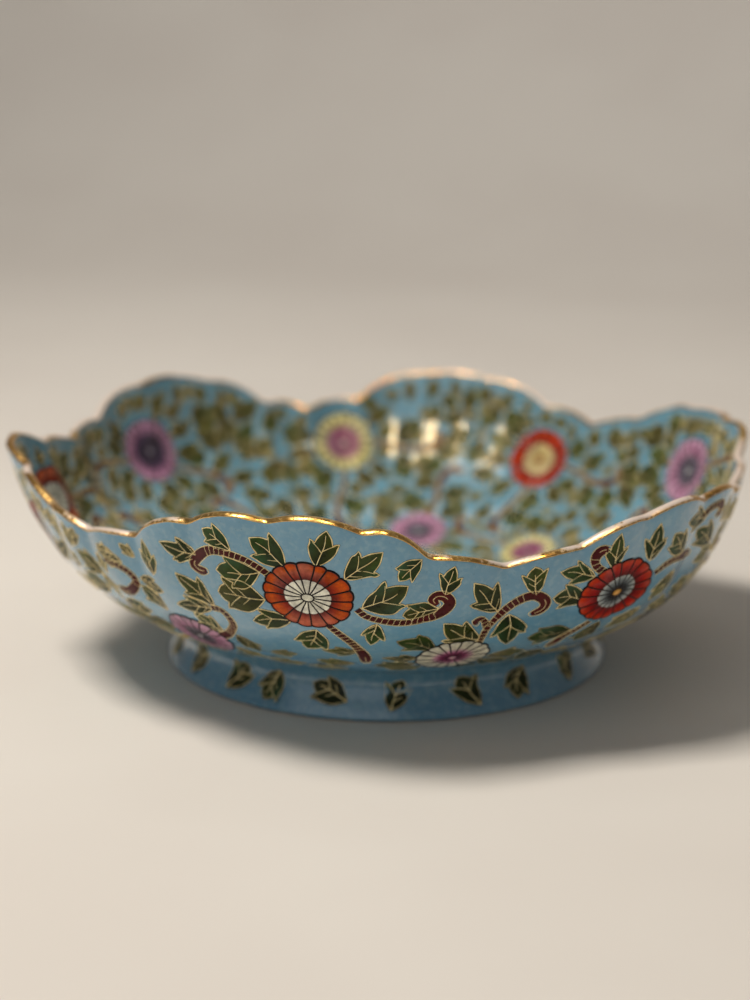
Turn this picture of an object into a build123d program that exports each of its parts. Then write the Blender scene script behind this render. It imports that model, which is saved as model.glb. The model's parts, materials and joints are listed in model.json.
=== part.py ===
from build123d import *
import os
from math import sin, cos, tan, radians, hypot, pi

# A lobed bowl with a scalloped rim, a gold band along its lip, a turned foot ring,
# and thin raised enamel blossoms and leaves.
# It stands on z = 0 with its axis on Z. Angles are in degrees about +Z, from -Y (the front)
# towards +X. Lengths are in mm.

os.makedirs("parts", exist_ok=True)

# ---------------------------------------------------------------- rim and wall dimensions
# Scallops run from knot to knot round the rim.
# knot: angle, how far it stands out beyond the plain profile at full share, rim height there,
# bulge of the next scallop's top edge above the mean height of its two knots
RIM_KNOTS = [
    (-174.0, 5.0, 77.1, 2.8), (-161.2, 2.4, 67.0, 1.7), (-150.9, -0.6, 64.0, 1.8),
    (-142.3, 1.5, 67.4, 2.9), (-131.7, 3.3, 78.0, 2.3), (-117.4, 5.3, 80.3, 2.3),
    (-104.3, 5.0, 72.0, 1.2), (-91.6, 0.5, 70.2, 1.2), (-79.5, 2.6, 74.7, 2.1),
    (-72.5, 9.2, 80.1, 1.2), (-64.5, 5.0, 74.4, 2.8), (-50.6, 3.5, 67.1, 2.0),
    (-40.0, 1.6, 63.6, 1.5), (-28.6, -1.0, 66.3, 3.1), (-16.2, 1.4, 76.3, 3.3),
    (-3.3, 4.3, 80.2, 3.7), (9.7, 4.9, 78.2, 4.2), (18.6, 2.6, 69.6, 1.5),
    (30.3, 0.3, 64.3, 1.4), (41.8, 2.5, 68.7, 2.9), (52.2, 4.4, 75.6, 3.4),
    (64.8, 4.9, 76.5, 3.7), (77.6, 3.8, 72.7, 2.2), (90.4, 0.6, 65.8, 2.2),
    (102.0, 3.3, 72.2, 4.0), (114.0, 4.6, 79.2, 1.2), (126.0, 4.8, 78.8, 2.6),
    (138.6, 0.8, 69.7, 1.2), (149.4, -0.9, 64.1, 1.2), (161.2, 3.1, 67.8, 2.1),
    (173.8, 4.9, 76.1, 1.2),
]
# The first knot comes again a full turn on, so the last scallop closes the ring.
CLOSING_KNOT = (RIM_KNOTS[0][0] + 360, *RIM_KNOTS[0][1:])
SCALLOPS = list(zip(RIM_KNOTS, RIM_KNOTS[1:] + [CLOSING_KNOT]))

# Wall profile, from the floor up and on past the rim; the wall thins from 3.6 to 3.0.
# outer height, outer radius, inner height, inner radius,
# share of the knots' stand-out felt there, depth of the scallops there
WALL = [
    (12.3, 45.0, 15.9, 44.86, 0.0, 0.0),
    (12.83, 55.86, 16.37, 55.61, 0.0, 0.0),
    (14.21, 66.7, 17.63, 66.02, 0.0, 0.0),
    (17.29, 77.13, 20.51, 75.92, 0.0, 0.0),
    (21.48, 87.2, 24.53, 85.74, 0.086, 0.085),
    (27.06, 96.55, 29.75, 94.59, 0.266, 0.273),
    (34.14, 104.86, 36.44, 102.53, 0.48, 0.575),
    (42.69, 111.59, 44.38, 108.85, 0.685, 0.955),
    (52.47, 116.43, 53.64, 113.49, 0.856, 1.336),
    (62.83, 119.82, 63.65, 116.82, 0.981, 1.65),
    (73.43, 122.44, 74.13, 119.47, 1.066, 1.871),
    (86.0, 125.5, 86.77, 122.6, 1.14, 2.06),
]
# level: height, radius, share, depth
OUTER = [(z, r, share, depth) for z, r, _, _, share, depth in WALL]
INNER = [(z, r, share, depth) for _, _, z, r, share, depth in WALL]
FLOOR_Z = INNER[0][0]

GILT_BAND = 1.9          # depth of the gold band below the lip's edge
CUT_NEAR, CUT_FAR = 60.0, 150.0  # distances from the axis between which the rim is cut
CUT_TOP = 110            # height of the rim cutters' tops, clear of the wall

# ---------------------------------------------------------------- foot ring dimensions
FOOT_R = 79.3            # outside, near its base
FOOT_R_Z = 1.8
FOOT_FLANK_OUT = 1.5     # how far the flank below the waist stands out from the waist
FOOT_FLANK_Z = 7.5
FOOT_WAIST_R = 74.4      # outside, at its narrowest
FOOT_WAIST_Z = 12.5
FOOT_TOP_R = 76.6        # outside, at the top
FOOT_TOP_Z = 19.0        # reaches up into the wall, which is cut away from it
FOOT_INNER_R = 70.2      # inside, at the top
FOOT_INNER_Z = 14.0      # where the upright part of the inside ends
FOOT_TREAD_IN = 74.2     # inner edge of the flat tread
FOOT_TREAD_OUT = 78.0    # outer edge of the flat tread
FOOT_BEVEL = 1.2         # bevel inside the tread, both ways

# ---------------------------------------------------------------- enamel dimensions
ENAMEL = 0.5             # thickness of the raised enamel
PETALS = 17              # petals round a blossom
PETAL_VALLEY = 0.95      # radius between two petals, as a share of the blossom's
BLOSSOM_REACH = 4        # how far a blossom's cutter runs to each side of its place on the wall

# blossoms: angle, height, radius from the axis, lean of the wall from upright, blossom radius
OUTSIDE_BLOSSOMS = [
    (2.5, 56.3, 123.43, 23.2, 13.6), (49.8, 50.7, 119.89, 27.1, 13.4),
    (97.5, 54.0, 120.31, 23.5, 13.6), (148.0, 52.5, 116.46, 21.8, 13.4),
    (-163.5, 53.0, 119.91, 24.1, 13.6), (-114.5, 55.0, 123.02, 24.2, 13.4),
    (-64.0, 50.0, 119.62, 27.5, 13.4), (24.7, 29.9, 101.14, 52.3, 12.0),
    (-19.9, 32.0, 103.35, 48.8, 12.0), (73.5, 33.0, 106.04, 49.9, 12.0),
    (122.5, 33.5, 106.87, 49.6, 12.0), (171.5, 32.0, 104.87, 51.2, 12.0),
    (-139.5, 33.0, 105.01, 48.3, 12.0), (-89.0, 31.5, 102.81, 49.5, 12.0),
]
INSIDE_BLOSSOMS = [
    (-115.4, 55.0, 119.34, 25.3, 13.0), (-157.8, 50.0, 114.09, 28.0, 13.0),
    (160.2, 47.5, 113.07, 31.0, 13.0), (122.3, 56.5, 120.05, 24.2, 13.0),
    (79.0, 51.0, 115.66, 27.6, 13.0), (38.0, 48.0, 113.26, 30.6, 13.0),
    (-5.0, 56.0, 118.53, 23.5, 13.0), (-40.0, 47.0, 111.57, 30.1, 12.5),
    (-77.0, 54.0, 119.14, 26.7, 13.0), (-176.0, 21.9, 79.78, 69.5, 11.5),
    (147.6, 20.8, 76.73, 70.2, 11.5), (112.0, 21.4, 78.42, 70.0, 11.5),
    (74.0, 21.2, 77.87, 70.2, 11.5), (36.0, 21.6, 78.93, 69.4, 11.5),
    (-2.0, 21.4, 78.42, 69.9, 11.5), (-40.0, 21.2, 77.84, 69.9, 11.5),
    (-74.0, 21.4, 78.46, 70.3, 11.5), (-107.0, 21.3, 78.15, 70.1, 11.5),
    (-140.0, 21.4, 78.4, 69.7, 11.5),
    (0, FLOOR_Z, 0, 90, 18.0),  # the middle of the floor
]

# leaves round the foot ring: angle, length, how far each is turned from lying level
FOOT_LEAVES = [
    (-44.9, 10.5, 80), (-28.2, 11.5, 60), (-16.9, 11.0, 250), (-1.3, 12.5, 155),
    (15.5, 11.0, 70), (34.0, 12.0, 120), (48.6, 11.5, 245), (67.0, 10.5, 75),
    (83.0, 11.5, 150), (99.5, 11.0, 60), (115.0, 12.0, 250), (131.5, 11.0, 110),
    (148.0, 11.5, 70), (164.0, 12.0, 160), (180.0, 11.0, 245), (-163.5, 11.5, 60),
    (-147.0, 12.0, 120), (-131.0, 11.0, 75), (-114.5, 11.5, 250), (-98.0, 12.0, 150),
    (-80.5, 11.0, 65), (-62.0, 11.5, 115),
]
# half of a three-lobed leaf, stalk at the origin, tip at one: along, across
HALF_LEAF = [
    (0.0, 0.0), (0.10, 0.17), (0.28, 0.34), (0.50, 0.44),
    (0.66, 0.43), (0.60, 0.24), (0.80, 0.17), (1.0, 0.0),
]
LEAF_MID_Z = 8.6         # height of the leaves' middles
LEAF_START_R = 72        # the leaf cutters start inside the foot ring's outer surface
LEAF_REACH = 12          # and run outwards this far


# ---------------------------------------------------------------- shared construction
def save(part, name):
    part.label = name
    export_step(part, f"parts/{name}.step")


def polar(angle, radius):
    return (radius * sin(radians(angle)), -radius * cos(radians(angle)))


def facing_plane(angle, radius, z=0, lean=0, side=1):
    """Plane whose x runs round the bowl; it faces out (side 1) or in (-1), out tipped down by lean."""
    turn, tip = radians(angle), radians(lean)
    return Plane(
        origin=(*polar(angle, radius), z),
        x_dir=(cos(turn), sin(turn), 0),
        z_dir=(*polar(angle, side * cos(tip)), -side * sin(tip)),
    )


def scallop_section(z, radius, share, depth):
    """One level of the wall: arcs from knot to knot, each bowed outwards by depth."""
    with BuildSketch(Plane.XY.offset(z)) as section:
        with BuildLine():
            for (angle0, out0, _, _), (angle1, out1, _, _) in SCALLOPS:
                radius0, radius1 = radius + share * out0, radius + share * out1
                ThreePointArc(
                    polar(angle0, radius0),
                    polar((angle0 + angle1) / 2, (radius0 + radius1) / 2 + depth),
                    polar(angle1, radius1),
                )
        make_face()
    return section.sketch


def scalloped_form(levels):
    """Solid filling the profile, carried up past the rim and lofted from the top down."""
    with BuildPart() as form:
        loft(sections=[scallop_section(*level) for level in reversed(levels)])
    return form.part


def rim_wedge(start, end, drop):
    """Wedge above one scallop's edge, lowered by drop: two upright outlines on one pair of rays."""
    angle0, _, z0, bulge = start
    angle1, _, z1, _ = end
    half_angle = radians((angle1 - angle0) / 2)
    left_z, right_z = z0 - drop, z1 - drop
    peak_z = (z0 + z1) / 2 + bulge - drop
    with BuildPart() as wedge:
        for distance in (CUT_NEAR, CUT_FAR):
            x = distance * tan(half_angle)
            with BuildSketch(facing_plane((angle0 + angle1) / 2, distance)):
                with BuildLine():
                    ThreePointArc((-x, left_z), (0, peak_z), (x, right_z))
                    Polyline((x, right_z), (x, CUT_TOP), (-x, CUT_TOP), (-x, left_z))
                make_face()
        loft(ruled=True)
    return wedge.part


def above_edge(drop):
    """Everything above the scalloped edge lowered by drop."""
    with BuildPart() as above:
        add([rim_wedge(start, end, drop) for start, end in SCALLOPS])
    return above.part


outer_form = scalloped_form(OUTER)
inner_form = scalloped_form(INNER)
above_rim = above_edge(0.0)
above_gilt = above_edge(GILT_BAND)

# ---------------------------------------------------------------- bowl body
with BuildPart() as bowl_body:
    add(outer_form)
    add(inner_form, mode=Mode.SUBTRACT)
    add(above_gilt, mode=Mode.SUBTRACT)
save(bowl_body.part, "bowl_body")

# ---------------------------------------------------------------- gilt rim
with BuildPart() as gilt_rim:
    add(outer_form)
    add(inner_form, mode=Mode.SUBTRACT)
    add(above_gilt, mode=Mode.INTERSECT)
    add(above_rim, mode=Mode.SUBTRACT)
save(gilt_rim.part, "gilt_rim")


# ---------------------------------------------------------------- foot ring
def foot_profile(swell):
    """Foot ring's turned outline, its outside moved out by swell."""
    tread_out = (FOOT_TREAD_OUT + swell, 0)
    top_out = (FOOT_TOP_R + swell, FOOT_TOP_Z)
    with BuildSketch(Plane.XZ) as outline:
        with BuildLine():
            Spline(
                tread_out,
                (FOOT_R + swell, FOOT_R_Z),
                (FOOT_WAIST_R + FOOT_FLANK_OUT + swell, FOOT_FLANK_Z),
                (FOOT_WAIST_R + swell, FOOT_WAIST_Z),
                top_out,
            )
            Polyline(
                top_out,
                (FOOT_INNER_R, FOOT_TOP_Z),
                (FOOT_INNER_R, FOOT_INNER_Z),
                (FOOT_TREAD_IN - FOOT_BEVEL, FOOT_BEVEL),
                (FOOT_TREAD_IN, 0),
                tread_out,
            )
        make_face()
    return outline.sketch


with BuildPart() as foot_ring:
    add(foot_profile(0.0))
    revolve(axis=Axis.Z)
    add(outer_form, mode=Mode.SUBTRACT)
save(foot_ring.part, "foot_ring")


# ---------------------------------------------------------------- enamel blossoms
def offset_levels(levels, offset):
    """Levels moved square to the wall: out and down by a positive offset, in and up by a negative."""
    moved = []
    for i, (z, radius, share, depth) in enumerate(levels):
        z0, radius0 = levels[max(i - 1, 0)][:2]
        z1, radius1 = levels[min(i + 1, len(levels) - 1)][:2]
        rise, run = z1 - z0, radius1 - radius0
        step = offset / hypot(rise, run)
        moved.append((z - step * run, radius + step * rise, share, depth))
    return moved


def petal_point(petal, radius):
    angle = 2 * pi * petal / PETALS
    return (radius * cos(angle), radius * sin(angle))


def blossom(angle, z, wall_radius, lean, radius, side):
    """Round outline with scalloped petals, carried through the wall square to it."""
    valley = PETAL_VALLEY * radius
    plane = facing_plane(angle, wall_radius, z, lean, side).offset(-BLOSSOM_REACH)
    with BuildPart() as bloom:
        with BuildSketch(plane):
            with BuildLine():
                for k in range(PETALS):
                    ThreePointArc(
                        petal_point(k, valley),
                        petal_point(k + 0.5, radius),
                        petal_point(k + 1, valley),
                    )
            make_face()
        extrude(amount=2 * BLOSSOM_REACH)
    return bloom.part


enamelled_form = scalloped_form(offset_levels(OUTER, ENAMEL))
with BuildPart() as outside_blossoms:
    add([blossom(*place, side=1) for place in OUTSIDE_BLOSSOMS])
    add(enamelled_form, mode=Mode.INTERSECT)
    add(outer_form, mode=Mode.SUBTRACT)
save(outside_blossoms.part, "outside_blossoms")

hollow_left = scalloped_form(offset_levels(INNER, -ENAMEL))
with BuildPart() as inside_blossoms:
    # The floor's blossom is added after those on the wall.
    add([blossom(*place, side=-1) for place in INSIDE_BLOSSOMS[:-1]])
    add(blossom(*INSIDE_BLOSSOMS[-1], side=-1))
    add(inner_form, mode=Mode.INTERSECT)
    add(hollow_left, mode=Mode.SUBTRACT)
save(inside_blossoms.part, "inside_blossoms")


# ---------------------------------------------------------------- enamel leaves on the foot
def foot_leaf(angle, length, turn):
    """Leaf outline on an upright plane, carried out through the foot ring's outer surface."""
    turn = radians(turn)
    shape = HALF_LEAF + [(x, -y) for x, y in reversed(HALF_LEAF[1:-1])]
    centred = [(length * (x - 0.5), length * y) for x, y in shape]
    points = [(x * cos(turn) - y * sin(turn), x * sin(turn) + y * cos(turn)) for x, y in centred]
    with BuildPart() as leaf:
        with BuildSketch(facing_plane(angle, LEAF_START_R, LEAF_MID_Z)):
            with BuildLine():
                Polyline(*points, close=True)
            make_face()
        extrude(amount=LEAF_REACH)
    return leaf.part


with BuildPart() as foot_leaves:
    add(foot_profile(ENAMEL))
    revolve(axis=Axis.Z)
    add([foot_leaf(*leaf) for leaf in FOOT_LEAVES], mode=Mode.INTERSECT)
    add(foot_ring.part, mode=Mode.SUBTRACT)
    add(outer_form, mode=Mode.SUBTRACT)
save(foot_leaves.part, "foot_leaves")
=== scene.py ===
import json
import math
import bpy
import numpy as np
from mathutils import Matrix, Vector

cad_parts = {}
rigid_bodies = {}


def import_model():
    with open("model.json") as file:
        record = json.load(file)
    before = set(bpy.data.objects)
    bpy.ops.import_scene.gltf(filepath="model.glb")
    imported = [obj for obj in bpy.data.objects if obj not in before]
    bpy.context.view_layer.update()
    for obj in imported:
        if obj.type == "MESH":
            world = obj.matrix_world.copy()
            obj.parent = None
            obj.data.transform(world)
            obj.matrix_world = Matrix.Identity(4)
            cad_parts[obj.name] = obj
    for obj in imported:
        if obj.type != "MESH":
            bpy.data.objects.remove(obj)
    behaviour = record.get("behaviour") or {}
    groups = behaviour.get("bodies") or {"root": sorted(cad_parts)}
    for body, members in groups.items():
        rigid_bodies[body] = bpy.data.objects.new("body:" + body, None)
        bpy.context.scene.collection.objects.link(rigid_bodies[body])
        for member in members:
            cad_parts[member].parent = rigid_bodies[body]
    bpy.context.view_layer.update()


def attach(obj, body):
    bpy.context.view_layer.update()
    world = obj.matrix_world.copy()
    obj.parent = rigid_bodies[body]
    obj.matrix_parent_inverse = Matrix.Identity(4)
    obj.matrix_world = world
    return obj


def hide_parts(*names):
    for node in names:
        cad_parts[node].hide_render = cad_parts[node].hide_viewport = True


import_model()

rng = np.random.default_rng(20)
MM = 0.001

# ------------------------------------------------------------------ the bowl's form, mm
# scallops, five or six to a lobe; knot: angle from -Y towards +X, swing beyond the plain profile, rim height,
# bulge of the next scallop's edge
RIM_KNOTS = [
    (-174.0, 5.0, 77.1, 2.8), (-161.2, 2.4, 67.0, 1.7), (-150.9, -0.6, 64.0, 1.8), (-142.3, 1.5, 67.4, 2.9),
    (-131.7, 3.3, 78.0, 2.3), (-117.4, 5.3, 80.3, 2.3), (-104.3, 5.0, 72.0, 1.2), (-91.6, 0.5, 70.2, 1.2),
    (-79.5, 2.6, 74.7, 2.1), (-72.5, 9.2, 80.1, 1.2), (-64.5, 5.0, 74.4, 2.8), (-50.6, 3.5, 67.1, 2.0),
    (-40.0, 1.6, 63.6, 1.5), (-28.6, -1.0, 66.3, 3.1), (-16.2, 1.4, 76.3, 3.3), (-3.3, 4.3, 80.2, 3.7),
    (9.7, 4.9, 78.2, 4.2), (18.6, 2.6, 69.6, 1.5), (30.3, 0.3, 64.3, 1.4), (41.8, 2.5, 68.7, 2.9),
    (52.2, 4.4, 75.6, 3.4), (64.8, 4.9, 76.5, 3.7), (77.6, 3.8, 72.7, 2.2), (90.4, 0.6, 65.8, 2.2),
    (102.0, 3.3, 72.2, 4.0), (114.0, 4.6, 79.2, 1.2), (126.0, 4.8, 78.8, 2.6), (138.6, 0.8, 69.7, 1.2),
    (149.4, -0.9, 64.1, 1.2), (161.2, 3.1, 67.8, 2.1), (173.8, 4.9, 76.1, 1.2),
]
# height, radius, share of the swing, scallop depth
OUTER = [
    (12.3, 0.0, 0.0, 0.0), (12.3, 11.25, 0.0, 0.0), (12.3, 22.5, 0.0, 0.0), (12.3, 33.75, 0.0, 0.0),
    (12.3, 45.0, 0.0, 0.0), (12.83, 55.86, 0.0, 0.0), (14.21, 66.7, 0.0, 0.0), (17.29, 77.13, 0.0, 0.0),
    (21.48, 87.2, 0.086, 0.085), (27.06, 96.55, 0.266, 0.273), (34.14, 104.86, 0.48, 0.575),
    (42.69, 111.59, 0.685, 0.955), (52.47, 116.43, 0.856, 1.336), (62.83, 119.82, 0.981, 1.65),
    (73.43, 122.44, 1.066, 1.871), (86.0, 125.5, 1.14, 2.06),
]
INNER = [
    (15.9, 0.0, 0.0, 0.0), (15.9, 11.2, 0.0, 0.0), (15.9, 22.4, 0.0, 0.0), (15.9, 33.6, 0.0, 0.0),
    (15.9, 44.86, 0.0, 0.0), (16.37, 55.61, 0.0, 0.0), (17.63, 66.02, 0.0, 0.0), (20.51, 75.92, 0.0, 0.0),
    (24.53, 85.74, 0.086, 0.12), (29.75, 94.59, 0.266, 0.52), (36.44, 102.53, 0.48, 1.05),
    (44.38, 108.85, 0.685, 1.50), (53.64, 113.49, 0.856, 1.78), (63.65, 116.82, 0.981, 1.92),
    (74.13, 119.47, 1.066, 1.98), (86.77, 122.6, 1.14, 2.06),
]
FOOT = [(0.0, 78.0), (1.8, 79.3), (7.5, 75.9), (12.5, 74.4), (19.0, 76.6)]      # height, outside radius


def spline(s, y, q):
    """Natural cubic spline through (s, y), read at q."""
    s, y, q = np.asarray(s, float), np.asarray(y, float), np.asarray(q, float)
    n, h = len(s), np.diff(s)
    a, b = np.eye(n), np.zeros(n)
    for i in range(1, n - 1):
        a[i, i - 1], a[i, i], a[i, i + 1] = h[i - 1], 2 * (h[i - 1] + h[i]), h[i]
        b[i] = 6 * ((y[i + 1] - y[i]) / h[i] - (y[i] - y[i - 1]) / h[i - 1])
    m = np.linalg.solve(a, b)
    i = np.clip(np.searchsorted(s, q) - 1, 0, n - 2)
    t0, t1, hh = q - s[i], s[i + 1] - q, h[i]
    return (m[i] * t1 ** 3 + m[i + 1] * t0 ** 3) / (6 * hh) + (y[i] / hh - m[i] * hh / 6) * t1 + (y[i + 1] / hh - m[i + 1] * hh / 6) * t0


# the rim's plan and height against angle, with the knots softened as thick glaze softens them
GRID = 7200
GA = np.arange(GRID) / GRID * 360.0 - 180.0
_k = np.array(RIM_KNOTS)
_ka = np.concatenate([_k[:, 0] - 360, _k[:, 0], _k[:, 0] + 360])
_kd, _kz, _kb = (np.tile(_k[:, c], 3) for c in (1, 2, 3))
_i = np.searchsorted(_ka, GA, side="right") - 1
_u = (GA - _ka[_i]) / (_ka[_i + 1] - _ka[_i])
G_SWING = _kd[_i] * (1 - _u) + _kd[_i + 1] * _u
G_SCAL = 4 * _u * (1 - _u)
G_RIM = _kz[_i] * (1 - _u) + _kz[_i + 1] * _u + _kb[_i] * G_SCAL


def soften(y, deg):
    w = int(4 * deg / 360 * GRID)
    k = np.exp(-0.5 * (np.arange(-w, w + 1) / (deg / 360 * GRID)) ** 2)
    return np.convolve(np.concatenate([y[-w:], y, y[:w]]), k / k.sum(), "valid")


G_SWING, G_SCAL, G_RIM = soften(G_SWING, 0.9), soften(G_SCAL, 0.55), soften(G_RIM, 0.55)


def at(table, a):
    return np.interp(a, GA, table, period=360.0)


class Wall:
    """One side of the wall: a turned profile with lobes and scallops, and points laid on it."""
    cap = None

    def __init__(self, table, side):
        t = np.array(table)
        s = np.concatenate([[0], np.cumsum(np.hypot(np.diff(t[:, 0]), np.diff(t[:, 1])))])
        self.side = side
        self.s = np.linspace(0, s[-1], 900)
        self.z, self.r, self.g, self.f = (spline(s, t[:, c], self.s) for c in range(4))
        self.g, self.f = np.clip(self.g, 0, None), np.clip(self.f, 0, None)

    def point(self, a, s):
        r = np.interp(s, self.s, self.r) + np.interp(s, self.s, self.g) * at(G_SWING, a) + np.interp(s, self.s, self.f) * at(G_SCAL, a)
        t = np.radians(a)
        return np.stack([r * np.sin(t), -r * np.cos(t), np.interp(s, self.s, self.z)], -1)

    def normal(self, a, s):
        da = self.point(a + 0.15, s) - self.point(a - 0.15, s)
        ds = self.point(a, np.minimum(s + 0.2, self.s[-1])) - self.point(a, np.maximum(s - 0.2, 0))
        n = np.cross(da, ds)
        l = np.linalg.norm(n, axis=-1, keepdims=True)
        flat = l[..., 0] < 1e-6
        n = n / np.maximum(l, 1e-9)
        n[flat] = (0, 0, -1)
        return n * self.side

    def height(self, z):
        """Arc length at height z, above the flat."""
        j = np.searchsorted(self.r, 60.0)
        return np.interp(z, self.z[j:], self.s[j:])

    def drop(self, p):
        """Angle and arc length of the wall's nearest point to each of p."""
        a = np.degrees(np.arctan2(p[:, 0], -p[:, 1]))
        rho, z = np.hypot(p[:, 0], p[:, 1]), p[:, 2]
        d, c = at(G_SWING, a), at(G_SCAL, a)
        out = np.empty(len(p))
        for lo in range(0, len(p), 20000):
            q = slice(lo, lo + 20000)
            k = np.arange(0, len(self.s), 3)
            for step in (3, 1):
                if step == 3:
                    rr = self.r[k][None] + self.g[k][None] * d[q, None] + self.f[k][None] * c[q, None]
                    e = (rr - rho[q, None]) ** 2 + (self.z[k][None] - z[q, None]) ** 2
                    best = k[e.argmin(1)]
                else:
                    kk = np.clip(best[:, None] + np.arange(-3, 4)[None], 0, len(self.s) - 1)
                    rr = self.r[kk] + self.g[kk] * d[q, None] + self.f[kk] * c[q, None]
                    e = (rr - rho[q, None]) ** 2 + (self.z[kk] - z[q, None]) ** 2
                    j = e.argmin(1)
                    i = np.arange(len(j))
                    jm = np.clip(j, 1, 5)
                    e0, e1, e2 = e[i, jm - 1], e[i, jm], e[i, jm + 1]
                    off = np.clip(0.5 * (e0 - e2) / np.maximum(e0 - 2 * e1 + e2, 1e-9), -1, 1)
                    out[q] = np.interp(kk[i, jm] + off, np.arange(len(self.s)), self.s)
        return a, out


class FootWall(Wall):
    def __init__(self):
        f = np.array(FOOT)
        s = np.concatenate([[0], np.cumsum(np.hypot(np.diff(f[:, 0]), np.diff(f[:, 1])))])
        self.side = 1
        self.s = np.linspace(0, s[-1], 300)
        self.z, self.r = spline(s, f[:, 0], self.s), spline(s, f[:, 1], self.s)
        self.g = self.f = np.zeros_like(self.s)

    def height(self, z):
        return np.interp(z, self.z, self.s)


OUT, IN, RING = Wall(OUTER, 1), Wall(INNER, -1), FootWall()


def unit(v):
    return v / np.maximum(np.linalg.norm(v, axis=-1, keepdims=True), 1e-12)


# ------------------------------------------------------------------ meshes
def new_object(name, verts, faces, mats, fmat=None, tint=None, smooth=True):
    """verts in mm; faces an (n, 4) array, with -1 in the last column for a triangle."""
    me = bpy.data.meshes.new(name)
    faces = np.asarray(faces, int)
    tri = faces[:, 3] < 0
    counts = np.where(tri, 3, 4)
    starts = np.concatenate([[0], np.cumsum(counts)[:-1]])
    loops = faces.ravel()
    loops = loops[loops >= 0]
    me.vertices.add(len(verts))
    me.vertices.foreach_set("co", (np.asarray(verts) * MM).astype(np.float32).ravel())
    me.loops.add(len(loops))
    me.loops.foreach_set("vertex_index", loops.astype(np.int32))
    me.polygons.add(len(faces))
    me.polygons.foreach_set("loop_start", starts.astype(np.int32))
    me.polygons.foreach_set("loop_total", counts.astype(np.int32))
    if fmat is not None:
        me.polygons.foreach_set("material_index", np.asarray(fmat, np.int32))
    me.polygons.foreach_set("use_smooth", np.full(len(faces), smooth))
    me.update(calc_edges=True)
    me.validate()
    if tint is not None:
        at_ = me.attributes.new("tint", "FLOAT_COLOR", "POINT")
        at_.data.foreach_set("color", np.concatenate([tint, np.ones((len(tint), 1))], 1).astype(np.float32).ravel())
    for m in mats:
        me.materials.append(m)
    ob = bpy.data.objects.new(name, me)
    bpy.context.scene.collection.objects.link(ob)
    return ob


def grid_faces(rows, cols, wrap=False, base=0):
    i, j = np.meshgrid(np.arange(rows - 1), np.arange(cols if wrap else cols - 1), indexing="ij")
    k = (j + 1) % cols
    return (base + np.stack([i * cols + j, i * cols + k, (i + 1) * cols + k, (i + 1) * cols + j], -1)).reshape(-1, 4)


class Enamel:
    """Raised work on one wall: grids of points with a lift above the glaze, a colour and a material."""

    def __init__(self, surf):
        self.surf, self.p, self.h, self.c, self.f, self.m, self.n = surf, [], [], [], [], [], 0

    def grid(self, p, h, c, mat=0, wrap=False):
        rows, cols = p.shape[:2]
        self.p.append(p.reshape(-1, 3))
        self.h.append(np.broadcast_to(h, (rows, cols)).ravel())
        self.c.append(np.broadcast_to(c, (rows, cols, 3)).reshape(-1, 3))
        f = grid_faces(rows, cols, wrap, self.n)
        self.f.append(f)
        self.m.append(np.full(len(f), mat))
        self.n += rows * cols

    def build(self, name, mats):
        p, h, c = np.concatenate(self.p), np.concatenate(self.h), np.concatenate(self.c)
        f, m = np.concatenate(self.f), np.concatenate(self.m)
        a, s = self.surf.drop(p)
        if self.surf.cap is not None:       # nothing is painted past the gilding
            s = np.minimum(s, at(self.surf.cap, a))
        n = self.surf.normal(a, s)
        v = self.surf.point(a, s) + n * h[:, None]
        d = np.cross(v[f[:, 2]] - v[f[:, 0]], v[f[:, 3]] - v[f[:, 1]])
        area = np.linalg.norm(d, axis=1) / 2
        back = (d * n[f[:, 0]]).sum(1) < 0
        f[back] = f[back][:, ::-1]
        keep = area > 1e-5
        return new_object(name, v, f[keep], mats, m[keep], c)


def frame_at(surf, a, s):
    """Wall point, outward normal, direction round the bowl and direction up the wall."""
    a, s = np.array([float(a)]), np.array([float(s)])
    p, n = surf.point(a, s)[0], surf.normal(a, s)[0]
    t = math.radians(a[0])
    e1 = np.array([math.cos(t), math.sin(t), 0.0])
    e1 = unit(e1 - n * (e1 @ n))
    e2 = np.cross(n, e1)
    if e2[2] < -1e-9 and abs(n[2]) < 0.99:
        e2 = -e2
    return p, n, e1, e2


def catmull(pts, per=8):
    pts = np.asarray(pts, float)
    q = np.concatenate([[2 * pts[0] - pts[1]], pts, [2 * pts[-1] - pts[-2]]])
    out = []
    t = np.arange(per)[:, None] / per
    for i in range(1, len(q) - 2):
        a, b, c, d = q[i - 1:i + 3]
        out.append(0.5 * (2 * b + (c - a) * t + (2 * a - 5 * b + 4 * c - d) * t ** 2 + (3 * b - a - 3 * c + d) * t ** 3))
    return np.concatenate(out + [pts[-1:]])


def resample(pts, n, closed=False):
    d = np.concatenate([[0], np.cumsum(np.linalg.norm(np.diff(pts, axis=0), axis=1))])
    q = np.linspace(0, d[-1], n)
    return np.stack([np.interp(q, d, pts[:, k]) for k in range(pts.shape[1])], 1)


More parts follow.
